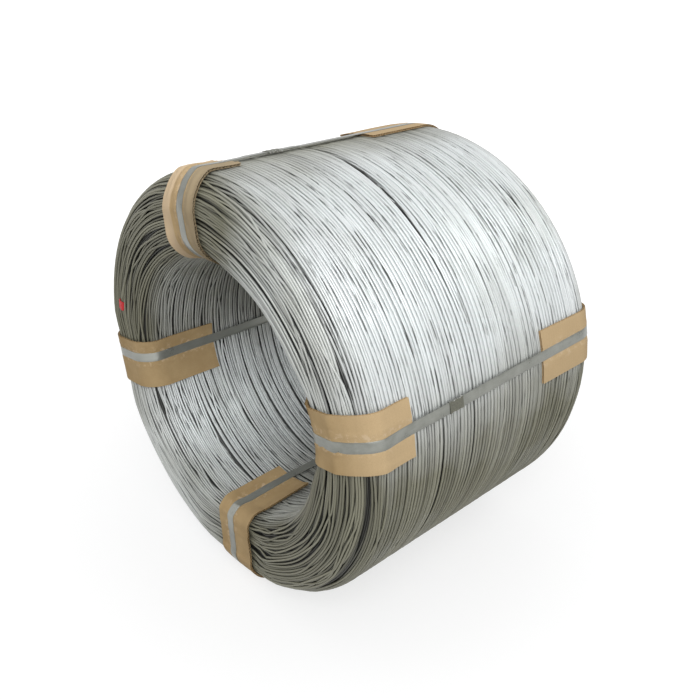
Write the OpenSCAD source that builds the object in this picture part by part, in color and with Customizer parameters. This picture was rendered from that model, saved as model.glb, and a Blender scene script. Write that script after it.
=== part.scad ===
// A coil of galvanised steel wire lying on its side, held by four flat steel
// straps that pass through the bore, with a folded sheet of corrugated board
// under each strap at both ends.
//
// The coil's axis is X and its front end faces -X. The origin is the centre of
// the bore. Angles run from the top of the coil (+Z) towards its left (+Y), as
// seen when looking along +X at the front end.

/* [Wire coil] */
// Outside diameter of the coil
coil_od = 818; // [790:2:1000]
// Diameter of the bore that the winding mandrel leaves
bore_d = 508; // [440:2:530]
// Length of the coil along its axis
coil_length = 620; // [480:5:900]
// Radius of the rounded lip between the outside and each end
outer_lip_r = 60; // [40:1:75]
// Radius of the rounded lip between the bore and each end
inner_lip_r = 55; // [40:1:70]
// Diameter of the wire
wire_d = 4.5; // [4:0.1:8]
// Depth of the groove between two neighbouring turns on the ends
groove_depth = 1.1; // [0.6:0.1:1.1]
// Distance between the gaps that the winding leaves on the outside and bore
winding_gap_pitch = 53; // [40:1:90]
// Depth of those gaps, which are twice as wide
winding_gap_depth = 2.1; // [1:0.1:2.4]

/* [Edge protectors] */
// Width of a board sheet, across the strap
board_w = 100; // [80:1:130]
// Thickness of the corrugated board
board_t = 4; // [2.5:0.1:7]
// How far a front sheet reaches along the outside of the coil
front_outside_reach = 108; // [85:1:150]
// How far a front sheet reaches into the bore
front_bore_reach = 165; // [80:1:200]
// How far a back sheet reaches along the outside of the coil
back_outside_reach = 179; // [85:1:220]
// How far the top back sheet reaches along the outside of the coil
top_back_outside_reach = 204; // [85:1:220]
// How far a back sheet reaches into the bore
back_bore_reach = 93; // [80:1:200]

/* [Straps] */
// Width of the strap
strap_w = 19; // [13:1:32]
// Thickness of the strap
strap_t = 0.8; // [0.5:0.1:1.3]
// Length over which the strap's two ends lie on each other
strap_lap = 110; // [70:1:140]

/* [Seals] */
// Length of the crimped sleeve that joins the strap's ends
seal_length = 32; // [20:1:50]
// Wall of the sleeve
seal_wall = 1; // [0.6:0.1:1.5]
// Distance from the coil's middle to the middle of a seal on the outside
seal_from_middle = 103; // [60:1:115]
// Distance from the coil's middle to the middle of the seal in the bore
bore_seal_from_middle = 60; // [0:1:90]

/* [Strap places] */
// Angle of the top protectors
top_angle = 9; // [0:1:20]
// Angle of the left protectors
left_angle = 99; // [85:1:110]
// Angle of the bottom protectors
bottom_angle = 185; // [175:1:195]
// Angle of the right protectors
right_angle = 282; // [270:1:290]
// How far the top strap lies off the middle of its protectors
top_offset = -7; // [-25:1:25]
// How far the left strap lies off the middle of its protectors
left_offset = -15; // [-25:1:25]
// How far the bottom strap lies off the middle of its protectors
bottom_offset = -13; // [-25:1:25]
// How far the right strap lies off the middle of its protectors
right_offset = 2; // [-25:1:25]
// How much the right strap runs askew along the coil, in degrees
right_skew = 0.9; // [-2:0.1:2]

/* [End marker] */
// Width of the red tape that marks the wire's end
tape_w = 18; // [8:1:30]
// Length of the tape along the wire
tape_length = 22; // [12:1:40]
// Thickness of the tape wrap
tape_t = 2; // [1:0.1:3]
// How far out from the middle of the end's flat the tape lies
tape_offset = 2; // [-6:1:6]
// Angle of the tape
tape_angle = 76; // [70:1:80]

/* [Fits] */
// Gap between a sheet and the coil, and between a strap and a sheet
seat_gap = 0.3; // [0.1:0.1:0.6]
// Gap between a seal and the strap inside it
seal_gap = 0.2; // [0.1:0.1:0.4]

/* [Hidden] */
$fn = 120;

coil_r = coil_od / 2;
bore_r = bore_d / 2;
wire_r = wire_d / 2;
half_length = coil_length / 2;

// The lips are limited by the coil's wall, which keeps a flat of at least two
// turns between them.
lips = outer_lip_r + inner_lip_r;
lip_limit = min(1, (coil_r - bore_r - 2 * wire_d) / lips);
outer_lip = outer_lip_r * lip_limit;
inner_lip = inner_lip_r * lip_limit;
flat_from_r = bore_r + inner_lip;
flat_to_r = coil_r - outer_lip;

// A stiff sheet bridges the hollow of the bore, with both edges on the wires.
sheet_bore_r = sqrt(pow(bore_r, 2) - pow(board_w / 2, 2)) - seat_gap;
// A strap's wire side, measured outwards from a sheet's wire side.
strap_lift = board_t + seat_gap;
strap_outside_r = coil_r + seat_gap + strap_lift;
strap_bore_r = sheet_bore_r - strap_lift;
// How far a leg's section runs past the coil, clear of the sheet's far side.
leg_past = seat_gap + 2 * board_t;

// The turns on each end lie along a path half a wire under the surface: round
// the outer lip, down the flat of the end and round the inner lip.
outer_turn_r = outer_lip - wire_r;
inner_turn_r = inner_lip - wire_r;
end_flat = flat_to_r - flat_from_r;
outer_run = outer_turn_r * PI / 2;
inner_run = inner_turn_r * PI / 2;
end_run = outer_run + end_flat + inner_run;
end_pitches = floor(end_run / wire_d);
// A turn's section has this many sides, one of them flush with the surface.
turn_sides = 8;
// How far from the middle the bands of the outside and the bore stop, half way
// down the flanks of the ends' turns.
flank = wire_r * cos(45);
outside_band = half_length - outer_lip - flank;
bore_band = half_length - inner_lip - flank;

// The turn at distance s along that path, as [radius, along, facing]: where
// its centre is, and the angle at which it faces out of the coil.
function turn_at(s) =
    s < outer_run
        ? let (a = 90 * s / outer_run)
            [flat_to_r + outer_turn_r * cos(a),
             half_length - outer_lip + outer_turn_r * sin(a), a]
    : s < outer_run + end_flat
        ? [flat_to_r - (s - outer_run), half_length - wire_r, 90]
    : let (a = 90 * (s - outer_run - end_flat) / inner_run)
        [flat_from_r - inner_turn_r * sin(a),
         half_length - inner_lip + inner_turn_r * cos(a), 90 + a];

// Half section of a ring with rounded lips: radius along X, axis along Y. The
// three blocks all cover the flat of the ends.
module ring_section(inside_r, outside_r, half, inside_lip, outside_lip) {
    from_r = inside_r + inside_lip;
    to_r = outside_r - outside_lip;
    section_block(from_r, to_r, half);
    section_block(inside_r, to_r, half - inside_lip);
    section_block(from_r, outside_r, half - outside_lip);
    for (end = [-1, 1]) {
        translate([from_r, end * (half - inside_lip)])
            circle(r = inside_lip);
        translate([to_r, end * (half - outside_lip)])
            circle(r = outside_lip);
    }
}

module section_block(from_r, to_r, half) {
    translate([from_r, -half])
        square([to_r - from_r, 2 * half]);
}

// Section of everything inside a wrap that lies this far out from a sheet's
// wire side, and this much longer at each end.
module wrap_section(out, longer = 0) {
    ring_section(
        sheet_bore_r - out,
        coil_r + seat_gap + out,
        half_length + seat_gap + out + longer,
        inner_lip + seat_gap + out,
        outer_lip + seat_gap + out
    );
}

// Stands a flat section up at an angle round the coil, radius outwards, with
// its thickness across the strap.
module at_angle(angle, offset = 0, skew = 0) {
    rotate([-angle, 0, 0])
        translate([0, offset, 0])
            rotate([0, 0, skew])
                rotate([-90, -90, 0])
                    children();
}

module wire_coil() {
    color([0.62, 0.64, 0.64])
        rotate([0, 90, 0])
            rotate_extrude()
                coil_section();
}

// The coil's own section. Its outside and bore are bands with a gap here and
// there, between the turns of the two ends.
module coil_section() {
    difference() {
        union() {
            ring_section(
                bore_r + groove_depth,
                coil_r - groove_depth,
                half_length - groove_depth,
                inner_lip - groove_depth,
                outer_lip - groove_depth
            );
            section_block(coil_r - wire_r, coil_r, outside_band);
            section_block(bore_r, bore_r + wire_r, bore_band);
        }
        winding_gaps(coil_r, outside_band);
        winding_gaps(bore_r, bore_band);
    }
    for (i = [0:end_pitches], end = [-1, 1]) {
        turn = turn_at(i * end_run / end_pitches);
        translate([turn[0], end * turn[1]])
            turn_section(end * turn[2]);
    }
}

// Right-angled grooves along a band, which reaches this far from the middle.
module winding_gaps(at_r, band) {
    first = winding_gap_pitch / 2;
    for (along = [first:winding_gap_pitch:band - wire_d], end = [-1, 1])
        translate([at_r, end * along])
            rotate(45)
                square(winding_gap_depth * sqrt(2), center = true);
}

module turn_section(facing) {
    half_side = 180 / turn_sides;
    rotate(facing + half_side)
        circle(r = wire_r / cos(half_side), $fn = turn_sides);
}

// A board sheet folded round one end of the coil. end is -1 at the front and
// 1 at the back.
module protector(angle, end, outside_reach, bore_reach) {
    color([0.78, 0.64, 0.45])
        at_angle(angle)
            linear_extrude(height = board_w, center = true)
                intersection() {
                    difference() {
                        wrap_section(board_t);
                        wrap_section(0);
                    }
                    union() {
                        leg(end, flat_from_r, coil_r + leg_past, outside_reach);
                        leg(end, 0, flat_to_r, bore_reach);
                    }
                }
}

// The stretch of a section between two radii that reaches this far in from
// one end of the coil. The two legs of a sheet both cover the flat of the end.
module leg(end, from_r, to_r, reach) {
    along = reach + leg_past;
    translate([from_r, end * (half_length + leg_past - along / 2) - along / 2])
        square([to_r - from_r, along]);
}

// A strap loop with its ends lying on each other round lap_at. The outer
// layer lies on the outside of the coil, or in the bore. A strap that runs
// askew is longer by what clears its corners off the end sheets.
module strap(angle, offset, skew, lap_at, in_bore = false) {
    lap_r = in_bore ? strap_bore_r - 2 * strap_t : strap_outside_r;
    askew = strap_w / 2 * sin(abs(skew)) + half_length * (1 - cos(skew));
    color([0.5, 0.52, 0.53])
        at_angle(angle, offset, skew)
            linear_extrude(height = strap_w, center = true) {
                difference() {
                    wrap_section(strap_lift + strap_t, askew);
                    wrap_section(strap_lift, askew);
                }
                translate([lap_r, lap_at - strap_lap / 2])
                    square([2 * strap_t, strap_lap]);
            }
}

// The sleeve round both layers of a strap.
module seal(angle, offset, skew, at, in_bore = false) {
    layers = 2 * strap_t;
    from_r = in_bore ? strap_bore_r - layers : strap_outside_r;
    color([0.38, 0.38, 0.33])
        at_angle(angle, offset, skew)
            translate([from_r + strap_t, at, 0])
                difference() {
                    sleeve_block(layers, seal_gap + seal_wall, seal_length);
                    sleeve_block(layers, seal_gap, seal_length + 2 * seal_wall);
                }
}

// A block round the strap's layers, larger than them by grow all round.
module sleeve_block(layers, grow, along) {
    cube([layers + 2 * grow, along, strap_w + 2 * grow], center = true);
}

// The tape wrap that marks the wire's end, bent with the turns it lies on.
module end_tape() {
    tape_r = (flat_from_r + flat_to_r) / 2 + tape_offset;
    sweep = 180 * tape_length / (PI * tape_r);
    color([0.72, 0.12, 0.14])
        translate([-half_length - seat_gap - tape_t / 2, 0, 0])
            rotate([sweep / 2 - tape_angle, 0, 0])
                rotate([0, -90, 0])
                    rotate_extrude(angle = sweep)
                        translate([tape_r, 0])
                            tape_section();
}

module tape_section() {
    straight = tape_w - tape_t;
    square([straight, tape_t], center = true);
    for (side = [-1, 1])
        translate([side * straight / 2, 0])
            circle(d = tape_t, $fn = 24);
}

module front_protector(angle) {
    protector(angle, -1, front_outside_reach, front_bore_reach);
}

module back_protector(angle, outside_reach = back_outside_reach) {
    protector(angle, 1, outside_reach, back_bore_reach);
}

wire_coil();
front_protector(top_angle);  // protector_top_front
back_protector(top_angle, top_back_outside_reach);  // protector_top_back
front_protector(left_angle);  // protector_left_front
back_protector(left_angle);  // protector_left_back
front_protector(bottom_angle);  // protector_bottom_front
back_protector(bottom_angle);  // protector_bottom_back
front_protector(right_angle);  // protector_right_front
back_protector(right_angle);  // protector_right_back
strap(top_angle, top_offset, 0, -seal_from_middle);  // strap_top
strap(left_angle, left_offset, 0, -seal_from_middle);  // strap_left
strap(bottom_angle, bottom_offset, 0, bore_seal_from_middle, true);  // strap_bottom
strap(right_angle, right_offset, right_skew, -seal_from_middle);  // strap_right
seal(top_angle, top_offset, 0, -seal_from_middle);  // seal_top
seal(left_angle, left_offset, 0, -seal_from_middle);  // seal_left
seal(bottom_angle, bottom_offset, 0, bore_seal_from_middle, true);  // seal_bottom
seal(right_angle, right_offset, right_skew, -seal_from_middle);  // seal_right
end_tape();
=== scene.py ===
"""Looks of a coil of galvanised steel wire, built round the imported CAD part.

The coil's axis is X and its front end faces -X. An angle is counted from the
top of the coil (+Z) towards its left (+Y). Lengths are in metres.
"""

import math
from dataclasses import dataclass

import bmesh
import bpy
import numpy as np
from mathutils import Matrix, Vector


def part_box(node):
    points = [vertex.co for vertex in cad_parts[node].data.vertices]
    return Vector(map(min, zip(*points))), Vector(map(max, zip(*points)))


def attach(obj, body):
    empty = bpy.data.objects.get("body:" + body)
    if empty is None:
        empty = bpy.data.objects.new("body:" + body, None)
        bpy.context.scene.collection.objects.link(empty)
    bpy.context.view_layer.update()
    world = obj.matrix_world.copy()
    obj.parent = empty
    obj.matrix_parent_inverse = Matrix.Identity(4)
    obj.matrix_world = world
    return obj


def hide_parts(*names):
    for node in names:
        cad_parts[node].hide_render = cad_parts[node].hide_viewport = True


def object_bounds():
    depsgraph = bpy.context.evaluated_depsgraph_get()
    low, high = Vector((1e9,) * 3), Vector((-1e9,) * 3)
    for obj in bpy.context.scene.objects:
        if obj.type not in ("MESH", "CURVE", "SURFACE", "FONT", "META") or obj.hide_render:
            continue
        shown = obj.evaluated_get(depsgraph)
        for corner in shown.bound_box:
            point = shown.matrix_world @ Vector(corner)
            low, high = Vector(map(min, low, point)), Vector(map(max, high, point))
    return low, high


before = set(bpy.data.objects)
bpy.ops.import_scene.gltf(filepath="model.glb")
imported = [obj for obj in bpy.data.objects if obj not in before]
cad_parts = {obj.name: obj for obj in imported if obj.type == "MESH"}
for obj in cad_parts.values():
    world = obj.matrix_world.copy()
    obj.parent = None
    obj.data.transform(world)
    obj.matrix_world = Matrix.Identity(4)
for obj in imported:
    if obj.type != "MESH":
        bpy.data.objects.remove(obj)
cad_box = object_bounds()

# Sizes that the part's source holds and the frame's boxes don't give.
BORE_R = 0.254
OUTER_LIP = 0.060
INNER_LIP = 0.055
WIRE_R = 0.00225
SHEET_W = 0.100
SHEET_T = 0.004
FRONT_OUTSIDE_REACH = 0.108
FRONT_BORE_REACH = 0.165
BACK_OUTSIDE_REACH = 0.179
TOP_BACK_OUTSIDE_REACH = 0.204
BACK_BORE_REACH = 0.093
STRAP_W = 0.019
STRAP_T = 0.0008
STRAP_LAP = 0.110
SEAL_LENGTH = 0.032
SEAL_WALL = 0.001
SEAL_X = -0.103
BORE_SEAL_X = 0.060
TAPE_ANGLE = math.radians(76)

# The wires: how many loops fill the layers that show, how deep the middle of each
# layer lies in wire radii, and how finely a loop is followed and rounded. Then how
# much more room the loops have on the ends and in the bore, the share that strays
# over the others, how much further those wander, the angle at which the outside
# is painted brightest as lit zinc, and how deep the inside, painted near black as
# shade, begins.
LOOPS = 610
LAYERS = (1.0, 3.4, 1.9, 3.6)
SLICES = 96
SIDES = 6
END_ROOM = 0.22
BORE_ROOM = 0.16
STRAY_SHARE = 0.06
STRAY_REACH = 2.1
LIT_FLANK = math.radians(-42)
CORE_DEPTH = 5.6 * WIRE_R

# How far a loop wanders along the section on the ends, and how much less it does
# on the outside and in the bore, where the wires lie tight.
WANDER = 0.0056
TIGHTER_OUTSIDE = 0.0040
TIGHTER_BORE = 0.0036

# How unevenly the loops are laid: how far they lie from even places and from their
# layer's depth, and by what share of a wire's radius they rise and sink.
LAY_SPREAD = 0.0010
DEPTH_SPREAD = 0.0003
DEPTH_WANDER = 0.3

# How the loops settle: the rounds, the neighbours that each looks at, the share of
# the way back to its layer, and how stiff it is along the section and in depth.
ROUNDS = 90
NEIGHBOURS = 5
HOMING = 0.06
STIFF_ALONG = 0.055
STIFF_DEEP = 0.045

# The thin gaps between the loops: how many, their half angles and half widths, how
# they slant, how far the loops still move, and how far off its line a gap is open.
GAPS = 420
GAP_HALF_ANGLES = (0.05, 0.22)
GAP_HALF_WIDTHS = (0.0005, 0.0014)
GAP_SLANT = 0.005
GAP_REACH = 0.006
GAP_EDGE = 0.0008
# The one wide gap of the winding, on the outside: its place and angle, how far it
# slants along the coil in one radian, its half angle and half width, how far from
# its line the loops have sunk beside it, and how deep.
WINDING_X = -0.036
WINDING_ANGLE = math.radians(-20)
WINDING_SLANT = 0.018
WINDING_HALF_ANGLE = 0.42
WINDING_HALF_WIDTH = 0.0062
WINDING_BESIDE = 0.006
WINDING_SINK = 0.004

# How the zinc is dulled, with painted light and shade: the two cosines of twice the
# angle off the flank painted as lit between which it changes, how much duller and
# more shaded the ends are painted, and beside the top sheet, and how much brighter,
# as painted light, the outside's left and the bore are.
FLANKS = (-0.38, 0.80)
DULL_SHADED_ENDS = 0.44
DULL_SHADED_TOP = 0.30
DULL_SHADED_TOP_ANGLE = -0.16
LIT_LEFT = 0.5
LIT_BORE = 0.35

# How deep the grooves between the wires are free of painted shade: everywhere, and how
# much deeper where the zinc is painted bright, on the outside and in the bore.
UNSHADED_LEAST = 0.0004
UNSHADED_OUTSIDE = 0.0058
UNSHADED_BORE = 0.0013

# The board: its liners, the length of a flute, half the fluted layer's thickness and
# how far its middle stays off the liners, and the band of flutes that is made along
# each edge, by how far inside the edge its middle lies and its half width.
LINER_T = 0.0004
FLUTE = 0.0072
FLUTE_HALF_T = 0.0002
FLUTE_CLEAR = 0.00025
FLUTES_INSIDE = 0.0064
FLUTES_HALF_W = 0.006
# How far a sheet lies off the wires, how deep a strap presses into it, how high
# its waves, the ridges beside the strap and its crease are, and how far the edges
# of a back sheet stand off.
SHEET_GAP = 0.0003
STRAP_DENT = 0.0009
WAVE_H = 0.0006
RIDGE_H = 0.0006
CREASE_H = 0.0012
BACK_CURL = 0.0003
# How far a back sheet may stand over the wires, just under its strap's outside.
BACK_LIFT = 0.0052

# A seal's two crimps: how far off its middle they are, how long, and how deep they
# notch its edges as a share of its width.
CRIMP_OFF = 0.0068
CRIMP_LENGTH = 0.0024
CRIMP_NOTCH = 0.17
# How far a crimp lifts the seal's edges and dents its middle, and the least that a
# seal stands off the wires.
CRIMP_LIFT = 0.0009
CRIMP_DENT = 0.0002
SEAL_STANDS = 0.0012

SEED = 12


@dataclass
class Wrap:
    """A strap with its two sheets, and how it has bent the coil's front end.

    offset is how far the strap lies off the sheets' middle. pressed gives how
    many millimetres the strap has sunk in, or stands proud where negative, from
    the bore round the front end to the outside: one value at the leg in the
    bore, five round the inner lip, one on the flat and five round the outer lip.
    curl is how far a front sheet's two edges stand off the wires, crease the
    place across it of a lengthwise fold, rumple how deep its folds beside the
    strap are, and the last how far it is painted greyer and darker, as shade, on
    the strap's other side.
    """

    name: str
    sheet_angle: float
    offset: float
    skew: float
    pressed: tuple
    seal_in_bore: bool = False
    back_reach: float = BACK_OUTSIDE_REACH
    curl: tuple = (0.001, 0.001)
    crease: float = SHEET_W
    rumple: float = 0.0003
    grey_shade: float = 0.0

    @property
    def angle(self):
        return math.radians(self.sheet_angle)


@dataclass
class Gap:
    """A slanting line that the loops on both sides of it are pushed off.

    middle is the line's s at the angle where, and slant how far it runs along s
    in one radian. half_angle and width are how long and how wide the gap is, and
    reach is how far from the line the loops still move.
    """

    middle: float
    slant: float
    where: float
    half_angle: float
    width: float
    reach: float = 0.010


WRAPS = [
    Wrap(
        "top",
        sheet_angle=9,
        offset=-0.007,
        skew=0,
        pressed=(2, 3, 4, 5, 4.5, 4, 4, 6, 6, 2, -2, -1),
        back_reach=TOP_BACK_OUTSIDE_REACH,
        curl=(0.0012, 0.0010),
        crease=0.024,
        rumple=0.0011,
        grey_shade=0.65,
    ),
    Wrap(
        "left",
        sheet_angle=99,
        offset=-0.015,
        skew=0,
        pressed=(3, 4, 0, 2, 4, 6, 6, 6, 6, 4, 1, 0),
        curl=(0.0010, 0.0015),
    ),
    Wrap(
        "bottom",
        sheet_angle=185,
        offset=-0.013,
        skew=0,
        pressed=(2.5, 5.5, -1, 1, 9.5, 13, 12, 8, 5, 2, 1, 0),
        seal_in_bore=True,
        curl=(0.0004, 0.0045),
    ),
    Wrap(
        "right",
        sheet_angle=282,
        offset=0.002,
        skew=0.9,
        pressed=(2, 3, 10, 13, 8.5, 3, 0, 3.6, 3.6, -1.4, -4.8, -1.9),
        curl=(0.0010, 0.0017),
    ),
]


# ------------------------ the section


class Outline:
    """The outline of a ring's half section with rounded lips.

    s runs from the front end of the outside, along the outside, round the back
    end, back through the bore and round the front end.
    """

    def __init__(self, half, bore_r, outside_r, inner_lip, outer_lip):
        outer_arc = outer_lip * math.pi / 2
        inner_arc = inner_lip * math.pi / 2
        flat = outside_r - outer_lip - bore_r - inner_lip
        outside = 2 * (half - outer_lip)
        bore = 2 * (half - inner_lip)
        stretches = [outside, outer_arc, flat, inner_arc, bore, inner_arc, flat, outer_arc]
        turns = [0, 1, 0, 1, 0, 1, 0, 1]
        self.ends = np.concatenate([[0], np.cumsum(stretches)])
        self.turned = np.concatenate([[0], np.cumsum(turns)]) * math.pi / 2
        self.length = self.ends[-1]
        self.half = half
        self.outer_lip = outer_lip
        self.inner_lip = inner_lip
        steps = 12000
        mid = (np.arange(steps) + 0.5) * self.length / steps
        facing = self.facing(mid)
        step = self.length / steps
        self.at_s = np.arange(steps + 1) * step
        along = np.concatenate([[0], np.cumsum(np.sin(facing) * step)])
        inward = np.concatenate([[0], np.cumsum(np.cos(facing) * step)])
        self.x = along - half + outer_lip
        self.r = outside_r - inward

    def facing(self, s):
        """The outward normal's angle from +X towards the outside."""
        return math.pi / 2 - np.interp(s % self.length, self.ends, self.turned)

    def at(self, s, depth):
        """(x, radius) of the points at s, this deep under the outline."""
        s = s % self.length
        facing = self.facing(s)
        x = np.interp(s, self.at_s, self.x) - depth * np.cos(facing)
        r = np.interp(s, self.at_s, self.r) - depth * np.sin(facing)
        return x, r

    def curvature(self, s):
        """One over the lip's radius on the lips, and none between them."""
        s = s % self.length
        stretch = np.searchsorted(self.ends, s, side="right") - 1
        lips = [0, self.outer_lip, 0, self.inner_lip, 0, self.inner_lip, 0, self.outer_lip]
        bend = np.array([1 / lip if lip else 0 for lip in lips] + [0])
        return bend[stretch]


def smooth_step(value, start, end):
    """0 before start, 1 after end and smooth between."""
    share = np.clip((value - start) / (end - start), 0, 1)
    return share * share * (3 - 2 * share)


def plateau(value, up_from, up_to, down_from, down_to):
    """1 between a smooth step up and a smooth step down, and 0 beyond them."""
    return smooth_step(value, up_from, up_to) - smooth_step(value, down_from, down_to)


def bump(value, middle, spread):
    """A smooth bump of height 1 round the middle."""
    return np.exp(-(((value - middle) / spread) ** 2))


def angle_between(a, b):
    """a - b, brought to between half a turn back and half a turn on."""
    return (a - b + math.pi) % (2 * math.pi) - math.pi


def pressed_places(outline):
    """The s of each value of a wrap's pressed, and of the ends beside them."""
    bore_end, flat_from, flat_to, outside_start = outline.ends[5:9]
    inner_arc = flat_from - bore_end
    outer_arc = outside_start - flat_to
    inner = bore_end + np.array([0, 0.3, 0.55, 0.73, 1]) * inner_arc
    outer = flat_to + np.array([0.16, 0.43, 0.66, 0.84, 1]) * outer_arc
    legs = bore_end - np.array([0.11, 0.05])
    return np.concatenate([legs, inner, [flat_to], outer, [outside_start + 0.03]])


def squeeze(outline, s, angle):
    """How deep the straps have pressed the front end in, at s and angle."""
    s = s % outline.length
    s = np.where(s < 0.05, s + outline.length, s)
    places = pressed_places(outline)
    total = np.zeros(np.broadcast(s, angle).shape)
    for wrap in WRAPS:
        depths = np.array([0, *wrap.pressed, 0]) / 1000
        _, r = outline.at(s, 0)
        off = np.abs(angle_between(angle, wrap.angle)) * r
        near = 1 - smooth_step(off, 0.4 * SHEET_W, 1.2 * SHEET_W)
        total = total + np.interp(s, places, depths, left=0, right=0) * near
    return total


def round_waves(rng, rows, slices, harmonics):
    """Closed random waves, one row each, with a spread of 1."""
    angle = np.linspace(0, 2 * math.pi, slices, endpoint=False)
    order = np.arange(1, harmonics + 1)
    size = 1 / order
    size = size / math.sqrt((size**2).sum())
    phase = order[:, None] * angle[None, :]
    cosines = (rng.normal(size=(rows, harmonics)) * size) @ np.cos(phase)
    sines = (rng.normal(size=(rows, harmonics)) * size) @ np.sin(phase)
    return cosines + sines


# ------------------------ the wires


def looseness(outline, s):
    """How far a loop wanders along the section, by where it lies on it."""
    ends = outline.ends
    tight_bore = plateau(s, ends[4], ends[4] + 0.06, ends[5] - 0.06, ends[5])
    back_lip = smooth_step(s, ends[1] - 0.05, ends[1])
    front_lip = smooth_step(s, ends[8] - 0.03, ends[8])
    tight_out = np.clip(1 - back_lip + front_lip, 0, 1)
    return WANDER - TIGHTER_OUTSIDE * tight_out - TIGHTER_BORE * tight_bore


def loop_places(outline):
    """A place along the section for each loop, further apart on the ends."""
    steps = np.arange(4001) * outline.length / 4000
    ends = outline.ends
    back = plateau(steps, *ends[1:5])
    front = plateau(steps, *ends[5:9])
    bore = plateau(steps, ends[4], ends[4] + 0.03, ends[5] - 0.03, ends[5])
    share = np.cumsum(1 - END_ROOM * (back + front) - BORE_ROOM * bore)
    share = (share - share[0]) / (share[-1] - share[0])
    return np.interp((np.arange(LOOPS) + 0.5) / LOOPS, share, steps)


def lay_loops(outline, rng):
    """First guess of each loop's s and depth at every slice."""
    start = loop_places(outline) + rng.normal(size=LOOPS) * LAY_SPREAD
    stray = rng.random(LOOPS) < STRAY_SHARE
    reach = looseness(outline, start) * np.where(stray, STRAY_REACH, 1)
    wander = round_waves(rng, LOOPS, SLICES, 5).T * reach
    layer = np.array(LAYERS)[np.arange(LOOPS) % len(LAYERS)]
    home = layer * WIRE_R + np.abs(rng.normal(size=LOOPS)) * DEPTH_SPREAD
    home = np.where(stray, WIRE_R, home)
    depth = home + round_waves(rng, LOOPS, SLICES, 3).T * WIRE_R * DEPTH_WANDER
    return start[None, :] + wander, np.maximum(depth, WIRE_R), home


def stiffen(values, share):
    """Evens out sharp bends along each loop and leaves its slow wander."""
    bend = np.roll(values, 1, 0) - 2 * values + np.roll(values, -1, 0)
    return values - share * (np.roll(bend, 1, 0) - 2 * bend + np.roll(bend, -1, 0))


def push_apart(outline, s, depth):
    """One round of pushing loops that share a place off each other."""
    round_s = s % outline.length
    order = np.argsort(round_s, axis=1)
    a = np.take_along_axis(round_s, order, 1)
    d = np.take_along_axis(depth, order, 1)
    bend = outline.curvature(a)
    move_s = np.zeros_like(a)
    move_d = np.zeros_like(a)
    touches = np.ones_like(a)
    for m in range(1, NEIGHBOURS + 1):
        b = np.roll(a, -m, 1)
        b[:, -m:] += outline.length
        e = np.roll(d, -m, 1)
        tight = 1 - bend * (d + e) / 2
        across = (b - a) * tight
        down = e - d
        apart = np.hypot(across, down) + 1e-9
        share = np.maximum(2 * WIRE_R - apart, 0) / apart / 2
        push_s = across * share / tight
        push_d = down * share
        touching = share > 0
        move_s += np.roll(push_s, m, 1) - push_s
        move_d += np.roll(push_d, m, 1) - push_d
        touches += touching
        touches += np.roll(touching, m, 1)
    rate = 1.6 / touches
    moved_s = np.empty_like(s)
    moved_d = np.empty_like(depth)
    np.put_along_axis(moved_s, order, move_s * rate, 1)
    np.put_along_axis(moved_d, order, move_d * rate, 1)
    return s + moved_s, depth + moved_d


def settle(outline, s, depth, home):
    """Lets the loops find room beside and over each other."""
    for _ in range(ROUNDS):
        s, depth = push_apart(outline, s, depth)
        depth = depth + (home - depth) * HOMING
        s = stiffen(s, STIFF_ALONG)
        depth = stiffen(depth, STIFF_DEEP)
        depth = np.maximum(depth, WIRE_R)
    return s, depth


def part_loops(outline, s, angle, rng):
    """Parts neighbouring loops here and there, which leaves long thin gaps."""
    for _ in range(GAPS):
        gap = Gap(
            middle=rng.random() * outline.length,
            where=rng.random() * 2 * math.pi,
            half_angle=rng.uniform(*GAP_HALF_ANGLES),
            width=rng.uniform(*GAP_HALF_WIDTHS),
            slant=rng.normal() * GAP_SLANT,
            reach=GAP_REACH,
        )
        s = open_gap(outline, s, angle, gap)
    for gap in (winding_gap(outline), *droop_gaps(outline)):
        s = open_gap(outline, s, angle, gap)
    return s


def open_gap(outline, s, angle, gap):
    """Pushes the loops on both sides of a gap's line off it."""
    turned = angle_between(angle, gap.where)
    line = gap.middle + gap.slant * turned
    off = (s - line + outline.length / 2) % outline.length - outline.length / 2
    near = np.exp(-np.abs(off) / gap.reach) * bump(turned, 0, gap.half_angle)
    return s + gap.width * np.tanh(off / GAP_EDGE) * near


def winding_gap(outline):
    """The wide gap on the outside."""
    return Gap(
        middle=outline.half - OUTER_LIP + WINDING_X,
        slant=WINDING_SLANT,
        where=WINDING_ANGLE,
        half_angle=WINDING_HALF_ANGLE,
        width=WINDING_HALF_WIDTH,
        reach=0.007,
    )


def droop_gaps(outline):
    """The gaps where loops droop beside the top and the bottom sheet's front."""
    flat = (outline.ends[6] + outline.ends[7]) / 2
    beside_top = math.radians(-7)
    beside_bottom = math.radians(203)
    gaps = []
    for step in range(5):
        middle = flat + 0.024 + 0.019 * step
        where = beside_top - 0.02 * step
        gaps.append(Gap(middle, 0.05, where, half_angle=0.10, width=0.0018))
    for off, slant, on, half_angle, width, reach in (
        (-0.012, -0.06, 0.00, 0.13, 0.0060, 0.022),
        (-0.058, -0.05, 0.04, 0.15, 0.0035, 0.010),
        (0.040, -0.05, 0.02, 0.12, 0.0030, 0.010),
    ):
        gaps.append(Gap(flat + off, slant, beside_bottom + on, half_angle, width, reach))
    return gaps


def near_winding_gap(outline, s, angle):
    """1 in the middle of the wide gap, and less beside and beyond it."""
    gap = winding_gap(outline)
    turned = angle_between(angle, gap.where)
    line = gap.middle + gap.slant * turned
    openness = bump(turned, 0, gap.half_angle)
    return openness * bump(s % outline.length, line, WINDING_BESIDE)


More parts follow.
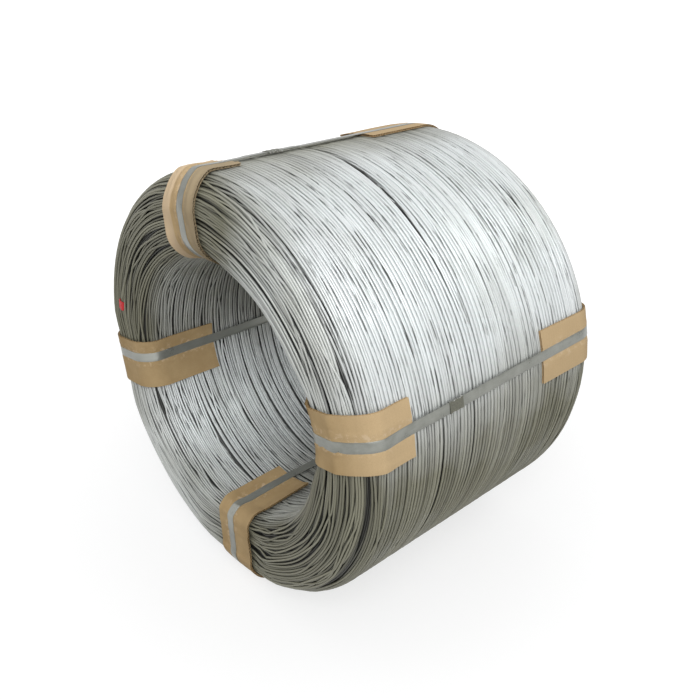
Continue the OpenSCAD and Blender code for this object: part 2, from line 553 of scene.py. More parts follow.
def dullness_and_shade(outline, s, angle):
    """How far the zinc is dulled, painted by facing: two flanks of the coil are
    painted bright as lit zinc, and two are dulled and painted dark as shade.

    The ends are painted duller and darker than that as shade, most of all beside
    the top sheet. The bore and the outside's left are painted less dark, as light.
    """
    flank = 1 - smooth_step(np.cos(2 * (angle - LIT_FLANK)), *FLANKS)
    facing = outline.facing(s)
    left = np.clip(np.sin(facing), 0, 1) * np.clip(np.sin(angle), 0, 1)
    bore = np.clip(-np.sin(facing), 0, 1)
    beside_top = bump(angle_between(angle, DULL_SHADED_TOP_ANGLE), 0, 0.30)
    ends = np.abs(np.cos(facing)) * (DULL_SHADED_ENDS + DULL_SHADED_TOP * beside_top)
    return flank * (1 - LIT_LEFT * left**2) * (1 - LIT_BORE * bore) + ends


def unshaded_depth(outline, s, dull, near_gap):
    """How deep the grooves are free of painted shade. In and beside the wide gap they are
    painted dark as shade.
    """
    facing = np.sin(outline.facing(s))
    outside = UNSHADED_OUTSIDE * np.clip(facing, 0, 1) * (1 - 3 * near_gap)
    bore = UNSHADED_BORE * np.clip(-facing, 0, 1)
    return UNSHADED_LEAST + (outside + bore) * (1 - np.clip(dull, 0, 1))


def tube_corners(outline, s, depth, angle, near_gap):
    """The corners of round loops, and how deep each lies under the outline."""
    pressed = np.maximum(squeeze(outline, s, angle), 0) + WINDING_SINK * near_gap
    x, r = outline.at(s, depth + pressed)
    around = np.arange(SIDES) * 2 * math.pi / SIDES
    sunk = depth[..., None] - WIRE_R * np.cos(around - outline.facing(s)[..., None])
    r = r[..., None] + WIRE_R * np.sin(around)
    co = np.empty((*s.shape, SIDES, 3))
    co[..., 0] = x[..., None] + WIRE_R * np.cos(around)
    co[..., 1] = r * np.sin(angle)[..., None]
    co[..., 2] = r * np.cos(angle)[..., None]
    return co.transpose(1, 0, 2, 3).reshape(-1, 3), sunk.transpose(1, 0, 2).ravel()


def tube_quads(loops, slices, sides):
    """The faces of closed tubes whose corners go by loop, by slice and by side."""
    counts = (np.arange(loops), np.arange(slices), np.arange(sides))
    loop, slice_, side = np.meshgrid(*counts, indexing="ij")

    def index(i, k, j):
        return (i * slices + k % slices) * sides + j % sides

    corners = [
        index(loop, slice_, side),
        index(loop, slice_ + 1, side),
        index(loop, slice_ + 1, side + 1),
        index(loop, slice_, side + 1),
    ]
    return np.stack(corners, axis=-1).reshape(-1, 4)


def tube_mesh(name, outline, s, depth, tone):
    """One mesh of round closed loops, with a tone of its own for each loop."""
    slices, loops = s.shape
    angle = np.linspace(0, 2 * math.pi, slices, endpoint=False)[:, None]
    near_gap = near_winding_gap(outline, s, angle)
    # Painted light and shade by facing, mixed with dulled zinc.
    dull = dullness_and_shade(outline, s, angle)
    # How deep the grooves stay free of painted shade, and the painted shade beside the wide gap.
    shade_free_depth = unshaded_depth(outline, s, dull, near_gap)
    co, sunk = tube_corners(outline, s, depth, angle, near_gap)
    mesh = mesh_from(name, co, tube_quads(loops, slices, SIDES))
    add_values(mesh, "tone", np.repeat(tone, slices * SIDES))
    add_values(mesh, "sunk", sunk)
    add_values(mesh, "dull", np.repeat(dull.T.ravel(), SIDES))
    add_values(mesh, "shade_free_depth", np.repeat(shade_free_depth.T.ravel(), SIDES))
    return mesh


def mesh_from(name, co, quads, smooth=True):
    """A mesh of four-sided faces from arrays of corners and faces."""
    mesh = bpy.data.meshes.new(name)
    mesh.vertices.add(len(co))
    mesh.vertices.foreach_set("co", np.asarray(co, np.float32).ravel())
    mesh.loops.add(quads.size)
    mesh.loops.foreach_set("vertex_index", quads.astype(np.int32).ravel())
    mesh.polygons.add(len(quads))
    mesh.polygons.foreach_set("loop_start", np.arange(0, quads.size, 4, dtype=np.int32))
    mesh.polygons.foreach_set("use_smooth", np.full(len(quads), smooth))
    mesh.update(calc_edges=True)
    mesh.validate()
    return mesh


def add_values(mesh, name, values):
    """A number for each corner of the mesh, for the material to read."""
    layer = mesh.attributes.new(name, "FLOAT", "POINT")
    layer.data.foreach_set("value", np.asarray(values, np.float32))


def add_object(name, data):
    thing = bpy.data.objects.new(name, data)
    bpy.context.scene.collection.objects.link(thing)
    return thing


def add_piece(name, mesh, material, slot, *nodes):
    """Adds a mesh as a piece that rides on the coil and stands for nodes."""
    piece = add_object(name, mesh)
    mesh.materials.append(material)
    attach(piece, "root")
    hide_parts(*nodes)


def build_wires(outline, material):
    """All loops, in one piece for each part of the section."""
    rng = np.random.default_rng(SEED)
    s, depth, home = lay_loops(outline, rng)
    s, depth = settle(outline, s, depth, home)
    angle = np.linspace(0, 2 * math.pi, SLICES, endpoint=False)[:, None]
    s = part_loops(outline, s, angle, rng)
    tone = rng.normal(size=LOOPS)
    middle = s.mean(axis=0) % outline.length
    ends = outline.ends
    half_out = ends[1] / 2
    half_bore = (ends[4] + ends[5]) / 2
    parts = {
        "wires_outside_front": (0, half_out),
        "wires_outside_back": (half_out, ends[1]),
        "wires_back_end": (ends[1], ends[4]),
        "wires_bore_back": (ends[4], half_bore),
        "wires_bore_front": (half_bore, ends[5]),
        "wires_front_end": (ends[5], ends[8]),
    }
    for name, (start, end) in parts.items():
        mine = (middle >= start) & (middle < end)
        mesh = tube_mesh(name, outline, s[:, mine], depth[:, mine], tone[mine])
        add_piece(name, mesh, material, "galvanised_wire", "wire_coil")


def build_core(outline, material):
    """The inside of the coil seen between the loops, painted near black as shade."""
    rows = 90
    around = 72
    s = np.arange(rows)[:, None] * outline.length / rows
    angle = np.arange(around)[None, :] * 2 * math.pi / around
    x, r = outline.at(s, CORE_DEPTH + np.maximum(squeeze(outline, s, angle), 0))
    co = np.stack([x, r * np.sin(angle), r * np.cos(angle)], axis=-1)
    mesh = mesh_from("core_shade", co.reshape(-1, 3), tube_quads(1, rows, around))
    add_piece("core_shade", mesh, material, "galvanised_wire", "wire_coil")


# ------------------------ sheets, straps, seals, tape


def slab(top, bottom):
    """Corners and faces of a closed slab between two grids of points."""
    rows, columns = top.shape[:2]
    count = rows * columns
    i, j = np.meshgrid(np.arange(rows - 1), np.arange(columns - 1), indexing="ij")
    a = (i * columns + j).ravel()
    face = np.stack([a, a + columns, a + columns + 1, a + 1], axis=-1)
    row_edge = np.arange(columns - 1)
    column_edge = np.arange(rows - 1) * columns
    last_row = (rows - 1) * columns + row_edge
    last_column = column_edge + columns - 1
    edges = [
        np.stack([row_edge, row_edge + 1], axis=-1),
        np.stack([last_row + 1, last_row], axis=-1),
        np.stack([column_edge + columns, column_edge], axis=-1),
        np.stack([last_column, last_column + columns], axis=-1),
    ]
    edges = np.concatenate(edges)
    rim = np.concatenate([edges, edges[:, ::-1] + count], axis=-1)
    quads = np.concatenate([face, face[:, ::-1] + count, rim])
    co = np.concatenate([top.reshape(-1, 3), bottom.reshape(-1, 3)])
    return co, quads


def join_parts(parts):
    """One array of corners and one of faces from several pairs."""
    co = []
    quads = []
    start = 0
    for part_co, part_quads in parts:
        co.append(part_co)
        quads.append(part_quads + start)
        start += len(part_co)
    return np.concatenate(co), np.concatenate(quads)


def creased_mesh(name, co, quads, crease_angle):
    """A mesh whose faces all look outwards and whose folds stay sharp."""
    mesh = mesh_from(name, co, quads)
    work = bmesh.new()
    work.from_mesh(mesh)
    bmesh.ops.recalc_face_normals(work, faces=work.faces)
    work.to_mesh(mesh)
    work.free()
    mesh.set_sharp_from_angle(angle=math.radians(crease_angle))
    return mesh


def sheet_points(outline, wrap, s, across, lift):
    """Points over a sheet, which curves with the coil, by s and place across."""
    x, r = outline.at(s, -lift)
    angle = wrap.angle + np.arcsin(across / r)
    x, r = outline.at(s, squeeze(outline, s, angle) - lift)
    return np.stack([x, r * np.sin(angle), r * np.cos(angle)], axis=-1)


def slow_noise(rng, across_count, along_count, s_share, v_share):
    """A smooth random surface over two shares from 0 to 1."""
    grid = rng.normal(size=(along_count, across_count))
    u = s_share * (along_count - 1)
    v = v_share * (across_count - 1)
    i = np.minimum(u.astype(int), along_count - 2)
    j = np.minimum(v.astype(int), across_count - 2)
    fu = smooth_step(u - i, 0, 1)
    fv = smooth_step(v - j, 0, 1)
    low = grid[i, j] * (1 - fv) + grid[i, j + 1] * fv
    high = grid[i + 1, j] * (1 - fv) + grid[i + 1, j + 1] * fv
    return low * (1 - fu) + high * fu


def sheet_lifts(rng, wrap, s_share, across, front):
    """How far the two faces of a sheet lie over the wires."""
    v_share = across / SHEET_W + 0.5
    off = np.abs(across - wrap.offset)
    pressed = 1 - smooth_step(off, STRAP_W / 2 - 0.001, STRAP_W / 2 + 0.006)
    ridge = bump(off, STRAP_W / 2 + 0.007, 0.004)
    wrinkle = np.clip(slow_noise(rng, 6, 44, s_share, v_share), -0.3, 1.5)
    wave = np.clip(slow_noise(rng, 3, 5, s_share, v_share), 0, 2)
    edge = smooth_step(np.abs(across), 0.022, SHEET_W / 2)
    side = np.where(across > 0, wrap.curl[1], wrap.curl[0]) if front else BACK_CURL
    under = SHEET_GAP + wave * WAVE_H * edge + side * edge**2 * (1 - 0.9 * s_share)
    over = under + SHEET_T - STRAP_DENT * pressed + RIDGE_H * ridge * wrinkle
    if front:
        folds = slow_noise(rng, 12, 9, s_share, v_share) * smooth_step(off, 0.012, 0.020)
        over = over + wrap.rumple * np.clip(folds, -1.2, 1.2)
        return under, over + CREASE_H * bump(across, wrap.crease, 0.0022)
    return under, np.minimum(over, BACK_LIFT)


def layer_faces(kind, turned, under, over):
    """How far a layer's two faces lie over the wires, from the sheet's own two."""
    if kind == "outer liner":
        return over, over - LINER_T
    if kind == "inner liner":
        return under + LINER_T, under + LINER_T - LINER_T
    low = under + LINER_T
    high = over - LINER_T
    middle = (low + high) / 2 + np.cos(turned) * ((high - low) / 2 - FLUTE_CLEAR)
    return middle + FLUTE_HALF_T, middle - FLUTE_HALF_T


def build_layer(outline, wrap, front, s_from, length, kind, rows, columns):
    """A thin slab of a sheet, and the s and the place across of its points."""
    share, across = np.meshgrid(np.linspace(0, 1, rows), columns, indexing="ij")
    rng = np.random.default_rng(SEED + round(1000 * wrap.sheet_angle) + front)
    under, over = sheet_lifts(rng, wrap, share, across, front)
    turned = share * round(length / FLUTE) * 2 * math.pi
    high, low = layer_faces(kind, turned, under, over)
    s = s_from + share * length
    top = sheet_points(outline, wrap, s, across, high)
    bottom = sheet_points(outline, wrap, s, across, low)
    return slab(top, bottom), s, across


def build_sheet(outline, wrap, front, s_from, s_to, material):
    """A sheet of corrugated board: two liners, and flutes where they show."""
    end_name = "front" if front else "back"
    length = s_to - s_from
    flutes = round(length / FLUTE)
    edge = SHEET_W / 2 - FLUTES_INSIDE
    bands = [np.linspace(at - FLUTES_HALF_W, at + FLUTES_HALF_W, 3) for at in (-edge, edge)]
    plan = [
        ("outer liner", flutes * 2 + 1, np.linspace(-0.5, 0.5, 29) * SHEET_W),
        ("inner liner", flutes + 1, np.linspace(-0.5, 0.5, 11) * SHEET_W),
        *(("flutes", flutes * 6 + 1, band) for band in bands),
    ]
    layers = [build_layer(outline, wrap, front, s_from, length, *part) for part in plan]
    co, quads = join_parts([layer[0] for layer in layers])
    mesh = creased_mesh(f"sheet_{wrap.name}_{end_name}", co, quads, 50)
    along = np.concatenate([np.tile(layer[1].ravel(), 2) for layer in layers])
    across = np.concatenate([np.tile(layer[2].ravel(), 2) for layer in layers])
    right_of_strap = wrap.offset - STRAP_W / 2 - across
    add_values(mesh, "along", along)
    add_values(mesh, "across", across)
    add_values(mesh, "beside", np.abs(across - wrap.offset) - STRAP_W / 2)
    # Paler beyond the crease: worn board and a painted highlight.
    add_values(mesh, "rubbed_and_lit", smooth_step(across, wrap.crease - 0.002, wrap.crease) * front)
    # Painted shade: greyer and darker on the strap's other side.
    add_values(mesh, "grey_shade", smooth_step(right_of_strap, 0, 0.006) * wrap.grey_shade * front)
    add_values(mesh, "outside", np.clip(np.sin(outline.facing(along)), 0, 1))
    node = f"protector_{wrap.name}_{end_name}"
    add_piece(mesh.name, mesh, material, "corrugated_board", node)


def build_sheets(outline, material):
    ends = outline.ends
    front_from = ends[5] - (FRONT_BORE_REACH - INNER_LIP)
    front_to = ends[8] + FRONT_OUTSIDE_REACH - OUTER_LIP
    back_to = ends[4] + BACK_BORE_REACH - INNER_LIP
    for wrap in WRAPS:
        back_from = ends[1] - (wrap.back_reach - OUTER_LIP)
        build_sheet(outline, wrap, True, front_from, front_to, material)
        build_sheet(outline, wrap, False, back_from, back_to, material)


def strap_points(outline, wrap, s, across, lift):
    """Points of a band that follows a strap's path, by s and place across it."""
    x, _ = outline.at(s, 0)
    askew = x * math.tan(math.radians(wrap.skew))
    return sheet_points(outline, wrap, s, wrap.offset + askew + across, lift)


def strap_lift():
    """How far a strap's near side lies over the wires."""
    return SHEET_GAP + SHEET_T - STRAP_DENT + 0.0001


def seal_place(outline, wrap):
    """The s of the middle of a strap's seal."""
    if wrap.seal_in_bore:
        return outline.ends[4] + outline.half - INNER_LIP - BORE_SEAL_X
    return SEAL_X + outline.half - OUTER_LIP


def build_strap(outline, wrap, material, rng):
    """A strap that goes once round and ends on top of its own start."""
    start = seal_place(outline, wrap) - STRAP_LAP / 2
    length = outline.length + STRAP_LAP
    rows = 440
    run = np.linspace(0, length, rows)[:, None]
    over_start = smooth_step(run, outline.length - 0.014, outline.length - 0.002)
    wave = slow_noise(rng, 2, 40, run / length, 0 * run) * 0.0001
    base = strap_lift() + wave * (1 - over_start) + over_start * (STRAP_T + 0.00005)
    across = np.array([-0.5, -0.487, -0.2, 0.2, 0.487, 0.5])[None, :] * STRAP_W
    rounded = np.array([0.0002, 0, 0, 0, 0, 0.0002])[None, :]
    top = strap_points(outline, wrap, start + run, across, base + STRAP_T - rounded)
    bottom = strap_points(outline, wrap, start + run, across, base + rounded * 0.5)
    co, quads = slab(top, bottom)
    mesh = creased_mesh(f"steel_strap_{wrap.name}", co, quads, 40)
    along = np.tile(np.repeat(run, 6), 2)
    add_values(mesh, "along", along)
    add_values(mesh, "across", np.tile(across.ravel(), 2 * rows))
    add_values(mesh, "in_bore", np.clip(-np.sin(outline.facing(start + along)), 0, 1))
    add_piece(mesh.name, mesh, material, "strap_steel", f"strap_{wrap.name}")


def sleeve_section(wall, points):
    """Places across and lifts of a rounded rectangle, wall off the lapped strap."""
    corner = 0.0005
    half_w = STRAP_W / 2 + wall
    low = strap_lift() - wall
    high = strap_lift() + 2 * STRAP_T + wall
    turn = np.linspace(0, 2 * math.pi, points, endpoint=False)
    middle = (low + high) / 2
    half_h = (high - low) / 2
    across = np.clip(np.cos(turn) * half_w * 1.5, -half_w + corner, half_w - corner)
    lift = np.clip(np.sin(turn) * half_h * 1.5, -half_h + corner, half_h - corner)
    across = across + corner * np.cos(turn)
    lift = lift + corner * np.sin(turn)
    return across, middle + lift


def build_seal(outline, wrap, material):
    """A sleeve crimped on at two places, where its edges are notched."""
    middle = seal_place(outline, wrap)
    rows = 33
    points = 40
    run = np.linspace(-0.5, 0.5, rows)[:, None] * SEAL_LENGTH
    crimp = bump(np.abs(run), CRIMP_OFF, CRIMP_LENGTH)
    shells = []
    for wall in (SEAL_WALL, 0.0001):
        across, lift = sleeve_section(wall, points)
        edge = smooth_step(np.abs(across), STRAP_W * 0.28, STRAP_W * 0.5)[None, :]
        squeezed = across[None, :] * (1 - CRIMP_NOTCH * crimp * edge)
        lifted = lift[None, :] + CRIMP_LIFT * crimp * edge - CRIMP_DENT * crimp
        lifted = np.maximum(lifted, SEAL_STANDS)
        shells.append(strap_points(outline, wrap, middle + run, squeezed, lifted))
    co, quads = tube_wall(shells[0], shells[1])
    mesh = creased_mesh(f"crimped_seal_{wrap.name}", co, quads, 40)
    add_values(mesh, "edge", np.tile(np.abs(across) / STRAP_W * 2, 2 * rows))
    add_piece(mesh.name, mesh, material, "seal_steel", f"seal_{wrap.name}")


def tube_wall(outer, inner):
    """Corners and faces of a tube with a wall, from two grids of rings."""
    rows, points = outer.shape[:2]
    count = rows * points
    i, j = np.meshgrid(np.arange(rows - 1), np.arange(points), indexing="ij")
    a = i * points + j
    b = i * points + (j + 1) % points
    face = np.stack([a, b, b + points, a + points], axis=-1).reshape(-1, 4)
    first = np.arange(points)
    beside = (first + 1) % points
    start_rim = np.stack([beside, first, first + count, beside + count], axis=-1)
    last = first + (rows - 1) * points
    beside = beside + (rows - 1) * points
    end_rim = np.stack([last, beside, beside + count, last + count], axis=-1)
    quads = np.concatenate([face, face[:, ::-1] + count, start_rim, end_rim])
    co = np.concatenate([outer.reshape(-1, 3), inner.reshape(-1, 3)])
    return co, quads


def build_tape(material):
    """The red tape, wound tightly round a few of the front end's wires."""
    low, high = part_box("end_tape")
    set_back = 0.002
    x, y, z = ((a + b) / 2 for a, b in zip(low, high))
    middle = np.array(Vector((x + set_back, y, z)))
    radial = np.array(Vector((0, math.sin(TAPE_ANGLE), math.cos(TAPE_ANGLE))))
    tangent = np.array(Vector((0, math.cos(TAPE_ANGLE), -math.sin(TAPE_ANGLE))))
    forward = np.array((-1, 0, 0))
    half_w = 0.0085
    half_t = 0.0034
    half_length = 0.0105
    rows = 15
    points = 40
    rng = np.random.default_rng(SEED + 2)
    turn = np.linspace(0, 2 * math.pi, points, endpoint=False)[None, :]
    share = np.linspace(-1, 1, rows)[:, None]
    along = (share + 1) / 2 + 0 * turn
    creases = 1 + 0.05 * slow_noise(rng, 12, 8, along, turn / 7 + 0 * share)
    ends = np.where(np.abs(share) > 0.99, 0.86, 1.0)
    wide = half_w * creases * ends * np.cos(turn)
    deep = half_t * creases * ends * np.sin(turn) * (1 + 0.12 * np.cos(6 * turn))
    ragged = share * half_length * (1 + 0.05 * np.sin(3 * turn + 1))
    outer = middle + wide[..., None] * radial
    outer = outer + deep[..., None] * forward + ragged[..., None] * tangent
    inner = middle + (outer - middle) * np.array([0.9, 0.97, 0.97])
    co, quads = tube_wall(outer, inner)
    mesh = creased_mesh("red_tape_wrap", co, quads, 60)
    add_piece(mesh.name, mesh, material, "red_tape", "end_tape")


# ------------------------ the materials


class Nodes:
    """A material with short ways to add and join its nodes."""

    def __init__(self, name):
        self.material = bpy.data.materials.new(name)
        self.material.use_nodes = True
        self.tree = self.material.node_tree
        self.shader = self.tree.nodes["Principled BSDF"]

    def add(self, kind):
        return self.tree.nodes.new(kind)

    def join(self, out, into):
        self.tree.links.new(out, into)

    def attribute(self, name):
        node = self.add("ShaderNodeAttribute")
        node.attribute_name = name
        return node.outputs["Fac"]

    def fill(self, sockets, values):
        """Sets each socket to its number or colour, or joins it to its output."""
        for socket, value in zip(sockets, values):
            if isinstance(value, (int, float)):
                socket.default_value = value
            elif isinstance(value, tuple):
                socket.default_value = (*value, 1)
            else:
                self.join(value, socket)

    def put(self, name, value):
        """Sets or joins the shader's own socket of that name."""
        self.fill([self.shader.inputs[name]], [value])

    def math(self, operation, first, second):
        node = self.add("ShaderNodeMath")
        node.operation = operation
        self.fill(node.inputs, (first, second))
        return node.outputs[0]

    def vector(self, x, y, z):
        node = self.add("ShaderNodeCombineXYZ")
        self.fill(node.inputs, (x, y, z))
        return node.outputs[0]

    def position(self):
        return self.add("ShaderNodeTexCoord").outputs["Object"]

    def noise(self, place, scale, detail=2.0, roughness=0.5):
        node = self.add("ShaderNodeTexNoise")
        node.inputs["Scale"].default_value = scale
        node.inputs["Detail"].default_value = detail
        node.inputs["Roughness"].default_value = roughness
        self.join(place, node.inputs["Vector"])
        return node.outputs["Fac"]

    def spread(self, value, low, high, to_low=0.0, to_high=1.0):
        node = self.add("ShaderNodeMapRange")
        node.inputs["From Min"].default_value = low
        node.inputs["From Max"].default_value = high
        node.inputs["To Min"].default_value = to_low
        node.inputs["To Max"].default_value = to_high
        self.join(value, node.inputs["Value"])
        return node.outputs["Result"]

    def blend(self, share, first, second):
        node = self.add("ShaderNodeMix")
        node.data_type = "RGBA"
        self.join(share, node.inputs[0])
        self.fill((node.inputs[6], node.inputs[7]), (first, second))
        return node.outputs[2]

    def bump(self, height, distance, strength=1.0):
        node = self.add("ShaderNodeBump")
        node.inputs["Strength"].default_value = strength
        node.inputs["Distance"].default_value = distance
        self.join(height, node.inputs["Height"])
        self.join(node.outputs["Normal"], self.shader.inputs["Normal"])


def wire_material():
    """Zinc painted bright as lit on two flanks, dulled and painted dark as shade on
    the others and the ends, with painted shade between the wires.

    The painted shade in the grooves runs in dashes along them. Between the dashes
    the grooves are free of it down to the metres under the outline that each point carries.
    """
    nodes = Nodes("galvanised_wire")
    place = nodes.position()
    tone = nodes.spread(nodes.attribute("tone"), -2.0, 2.0)
    # Painted highlight: this pale zinc stands in for the light on the lit flanks.
    zinc = nodes.blend(tone, (0.69, 0.71, 0.71), (0.80, 0.83, 0.83))
    patches = nodes.spread(nodes.noise(place, 7.0, 4.0), 0.42, 0.68, -0.08, 0.15)
    dull = nodes.math("ADD", nodes.attribute("dull"), patches)
    # Dulled zinc, also painted dark as shade where the flanks face away from the lamps.
    dulled_shaded_zinc = nodes.blend(tone, (0.140, 0.135, 0.094), (0.280, 0.271, 0.198))
    colour = nodes.blend(nodes.spread(dull, 0.0, 1.0), zinc, dulled_shaded_zinc)
    dashes = nodes.noise(dash_place(nodes, place), 230.0, 2.0)
    shade_free_share = nodes.spread(dashes, 0.53, 0.62, 1.0, -0.18)
    lightened = nodes.math("MULTIPLY", shade_free_share, nodes.attribute("shade_free_depth"))
    sunk = nodes.math("SUBTRACT", nodes.attribute("sunk"), lightened)
    # Painted shade: the deeper a point lies between and under the wires, the darker.
    groove_shade = nodes.spread(sunk, 0.0012, 0.0052, 0.0, 0.94)
    colour = nodes.blend(groove_shade, colour, (0.022, 0.022, 0.019))
    nodes.put("Base Color", colour)
    nodes.put("Metallic", nodes.spread(dull, 0.0, 1.0, 0.4, 0.2))
    nodes.put("Roughness", nodes.spread(dull, 0.0, 1.0, 0.40, 0.48))
    nodes.bump(nodes.noise(place, 900.0, 2.0), 0.0002, 0.25)
    return nodes.material


def dash_place(nodes, place):
    """A place whose first axis runs slowly round the coil, along the wires."""
    axes = nodes.add("ShaderNodeSeparateXYZ")
    nodes.join(place, axes.inputs[0])
    x, y, z = axes.outputs
    angle = nodes.math("ARCTAN2", y, z)
    squares = nodes.math("ADD", nodes.math("MULTIPLY", y, y), nodes.math("MULTIPLY", z, z))
    radius = nodes.math("SQRT", squares, 0.0)
    return nodes.vector(nodes.math("MULTIPLY", angle, 0.036), x, radius)


def core_shade_material():
    # Painted shade: near black, for the wires deep in the coil's shade.
    nodes = Nodes("core_shade")
    share = nodes.noise(nodes.position(), 60.0)
    colour = nodes.blend(share, (0.012, 0.012, 0.012), (0.03, 0.03, 0.028))
    nodes.put("Base Color", colour)
    nodes.put("Roughness", 0.8)
    return nodes.material


def board_colour(nodes, place, fibres, wash):
    """Stained kraft, painted paler as light on the coil's outside, and paler beyond a
    front sheet's crease, as worn board and a painted highlight.

    Beside one strap it is painted greyer and darker as shade.
    """
    stains = nodes.spread(nodes.noise(place, 14.0, 4.0, 0.6), 0.35, 0.7)
    colour = nodes.blend(stains, (0.43, 0.295, 0.145), (0.53, 0.38, 0.200))
    # Painted light: the part of a sheet on the coil's outside is paler.
    lit_outside = nodes.math("MULTIPLY", nodes.attribute("outside"), 0.7)
    colour = nodes.blend(lit_outside, colour, (0.68, 0.50, 0.290))
    dark = nodes.math("MULTIPLY", nodes.spread(fibres, 0.45, 0.75), 0.3)
    colour = nodes.blend(dark, colour, (0.33, 0.21, 0.10))
    # Painted shade: a little darker in the washboard's hollows.
    hollow_shade = nodes.spread(wash, -1.0, 0.2, 0.03, 0.0)
    colour = nodes.blend(hollow_shade, colour, (0.34, 0.21, 0.10))
    near = nodes.spread(nodes.attribute("beside"), 0.016, 0.002)
    creases = nodes.spread(nodes.noise(place, 95.0, 3.0, 0.6), 0.52, 0.62)
    worn = nodes.math("MULTIPLY", nodes.math("MULTIPLY", near, creases), 0.45)
    colour = nodes.blend(worn, colour, (0.76, 0.60, 0.42))
    # Painted shade: greyer and darker on the strap's other side.
    colour = nodes.blend(nodes.attribute("grey_shade"), colour, (0.34, 0.285, 0.195))
    # Paler beyond the crease: worn board and a painted highlight.
    rubbed_and_lit = nodes.math("MULTIPLY", nodes.attribute("rubbed_and_lit"), 0.75)
    return nodes.blend(rubbed_and_lit, colour, (0.78, 0.60, 0.40))


def board_material():
    """Brown kraft board, with fibres along it and washboard over the flutes."""
    nodes = Nodes("corrugated_board")
    along = nodes.attribute("along")
    across = nodes.attribute("across")
    place = nodes.vector(along, across, 0.0)
    fibre_place = nodes.vector(nodes.math("MULTIPLY", along, 4.0), across, 0.0)
    fibres = nodes.noise(fibre_place, 320.0, 4.0, 0.65)
    wash = nodes.math("SINE", nodes.math("MULTIPLY", along, 2 * math.pi / FLUTE), 0.0)
    colour = board_colour(nodes, place, fibres, wash)
    nodes.put("Base Color", colour)
    nodes.put("Roughness", 0.82)
    nodes.put("Specular IOR Level", 0.25)
    waves = nodes.math("MULTIPLY", wash, 0.06)
    height = nodes.math("ADD", waves, nodes.math("MULTIPLY", fibres, 0.5))
    nodes.bump(height, 0.0005, 0.6)
    return nodes.material


def strap_material():
    """Cold-rolled strip, drawn lengthwise, with fine scratches and duller spots.

    It is lighter where it runs through the bore than on the outside.
    """
    nodes = Nodes("strap_steel")
    along = nodes.attribute("along")
    across = nodes.attribute("across")
    lengthwise = nodes.vector(nodes.math("MULTIPLY", along, 0.03), across, 0.0)
    drawn = nodes.noise(lengthwise, 1600.0, 3.0, 0.6)
    cloud = nodes.noise(nodes.vector(along, across, 0.0), 26.0, 4.0, 0.6)
    spots = nodes.spread(cloud, 0.35, 0.7)
    colour = nodes.blend(spots, (0.20, 0.205, 0.180), (0.30, 0.305, 0.275))
    # Lighter where the strap runs through the bore.
    lightened = nodes.math("MULTIPLY", nodes.attribute("in_bore"), 0.7)
    colour = nodes.blend(lightened, colour, (0.46, 0.47, 0.43))
    scratch = nodes.math("MULTIPLY", nodes.spread(drawn, 0.5, 0.75), 0.4)
    colour = nodes.blend(scratch, colour, (0.36, 0.365, 0.36))
    nodes.put("Base Color", colour)
    nodes.put("Metallic", 0.6)
    nodes.put("Roughness", nodes.spread(cloud, 0.3, 0.7, 0.25, 0.40))
    nodes.bump(drawn, 0.00015, 0.4)
    return nodes.material


def seal_material():
    """Dull dark zinc, worn bright where the crimping tool bit."""
    nodes = Nodes("seal_steel")
    place = nodes.position()
    grain = nodes.noise(place, 420.0, 3.0)
    edge = nodes.spread(nodes.attribute("edge"), 0.9, 1.02)
    worn = nodes.math("MULTIPLY", edge, nodes.spread(grain, 0.45, 0.6))
    colour = nodes.blend(nodes.spread(grain, 0.3, 0.7), (0.10, 0.10, 0.08), (0.19, 0.19, 0.15))
    colour = nodes.blend(worn, colour, (0.62, 0.62, 0.60))
    nodes.put("Base Color", colour)
    nodes.put("Metallic", 0.8)
    nodes.put("Roughness", nodes.spread(grain, 0.3, 0.7, 0.38, 0.6))
    nodes.bump(grain, 0.0002, 0.5)
    return nodes.material


def tape_material():
    nodes = Nodes("red_tape")
    grain = nodes.noise(nodes.position(), 300.0, 3.0)
    colour = nodes.blend(nodes.spread(grain, 0.3, 0.7), (0.52, 0.012, 0.02), (0.72, 0.03, 0.035))
    nodes.put("Base Color", colour)
    nodes.put("Roughness", 0.5)
    nodes.bump(grain, 0.0003, 0.5)
    return nodes.material


# ------------------------ camera, light, stage


def look_at(thing, eye, target):
    way = Vector(target) - Vector(eye)
    thing.location = eye
    thing.rotation_mode = "QUATERNION"
    thing.rotation_quaternion = way.to_track_quat("-Z", "Y")


def add_camera():
    data = bpy.data.cameras.new("camera")
    data.lens = 40.9
    data.sensor_width = 36.0
    data.clip_start = 0.05
    data.clip_end = 50.0
    camera = add_object("camera", data)
    azimuth = math.radians(-42.1)
    elevation = math.radians(27.7)
    level = math.cos(elevation)
    back = Vector((math.sin(azimuth) * level, -math.cos(azimuth) * level, math.sin(elevation)))
    eye = Vector((-0.960, -1.098, 0.757))
    look_at(camera, eye, eye - back)
    bpy.context.scene.camera = camera


def add_area(name, eye, size, power, colour):
    """A lamp that faces the middle of the coil."""
    data = bpy.data.lights.new(name, "AREA")
    data.shape = "RECTANGLE"
    data.size, data.size_y = size
    data.energy = power
    data.color = colour
    look_at(add_object(name, data), eye, (0, 0, 0))


def add_lights():
    add_area("key", (-0.6, -1.35, 3.2), (3.6, 2.6), 15.5, (0.97, 0.985, 1.0))
    add_area("side", (-1.0, -2.8, 1.4), (3.0, 1.8), 14, (0.97, 0.985, 1.0))
    add_area("front", (-1.8, -1.9, 2.3), (1.2, 1.2), 38, (0.97, 0.99, 1.0))


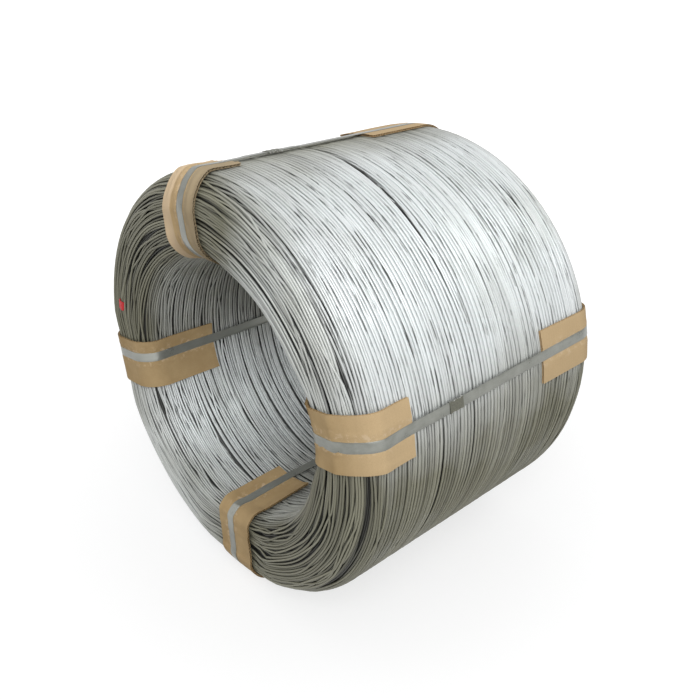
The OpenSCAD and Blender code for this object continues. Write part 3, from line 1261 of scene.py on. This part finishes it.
def seen_share(tree):
    """1 on camera, glossy and transmission rays, which see the white stage."""
    path = tree.nodes.new("ShaderNodeLightPath")
    share = path.outputs["Is Camera Ray"]
    for name in ("Is Glossy Ray", "Is Transmission Ray"):
        either = tree.nodes.new("ShaderNodeMath")
        either.operation = "MAXIMUM"
        tree.links.new(share, either.inputs[0])
        tree.links.new(path.outputs[name], either.inputs[1])
        share = either.outputs[0]
    return share


def add_world():
    world = bpy.data.worlds.new("surround")
    world.use_nodes = True
    tree = world.node_tree
    background = tree.nodes["Background"]
    mix = tree.nodes.new("ShaderNodeMix")
    mix.data_type = "RGBA"
    mix.inputs[6].default_value = (0.54, 0.54, 0.54, 1)
    mix.inputs[7].default_value = (1.0, 1.0, 1.0, 1)
    tree.links.new(seen_share(tree), mix.inputs[0])
    tree.links.new(mix.outputs[2], background.inputs["Color"])
    bpy.context.scene.world = world


def floor_material():
    """White to the eye, and lit and shaded like grey card besides."""
    nodes = Nodes("floor")
    away = nodes.add("ShaderNodeVectorMath")
    away.operation = "LENGTH"
    nodes.join(nodes.position(), away.inputs[0])
    glow = nodes.spread(away.outputs["Value"], 0.6, 2.2, 0.7, 1.0)
    glow = nodes.math("MULTIPLY", glow, seen_share(nodes.tree))
    nodes.put("Base Color", (0.34, 0.34, 0.34))
    nodes.put("Roughness", 0.9)
    nodes.put("Emission Color", (1, 1, 1))
    nodes.put("Emission Strength", glow)
    return nodes.material


def add_floor(level):
    half_size = 30.0
    co = np.array([[-1, -1, 0], [1, -1, 0], [1, 1, 0], [-1, 1, 0]]) * half_size
    co[:, 2] = level
    mesh = mesh_from("floor", co, np.array([[0, 1, 2, 3]]), smooth=False)
    floor = add_object("floor", mesh)
    mesh.materials.append(floor_material())


def main():
    bpy.context.scene.view_settings.view_transform = "Standard"
    low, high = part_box("wire_coil")
    half = (high.x - low.x) / 2
    outside_r = (high.z - low.z) / 2
    outline = Outline(half, BORE_R, outside_r, INNER_LIP, OUTER_LIP)
    build_wires(outline, wire_material())
    build_core(outline, core_shade_material())
    build_sheets(outline, board_material())
    strap_steel = strap_material()
    seal_steel = seal_material()
    rng = np.random.default_rng(SEED + 3)
    for wrap in WRAPS:
        build_strap(outline, wrap, strap_steel, rng)
        build_seal(outline, wrap, seal_steel)
    build_tape(tape_material())
    add_camera()
    add_lights()
    add_world()
    add_floor(cad_box[0].z)


main()
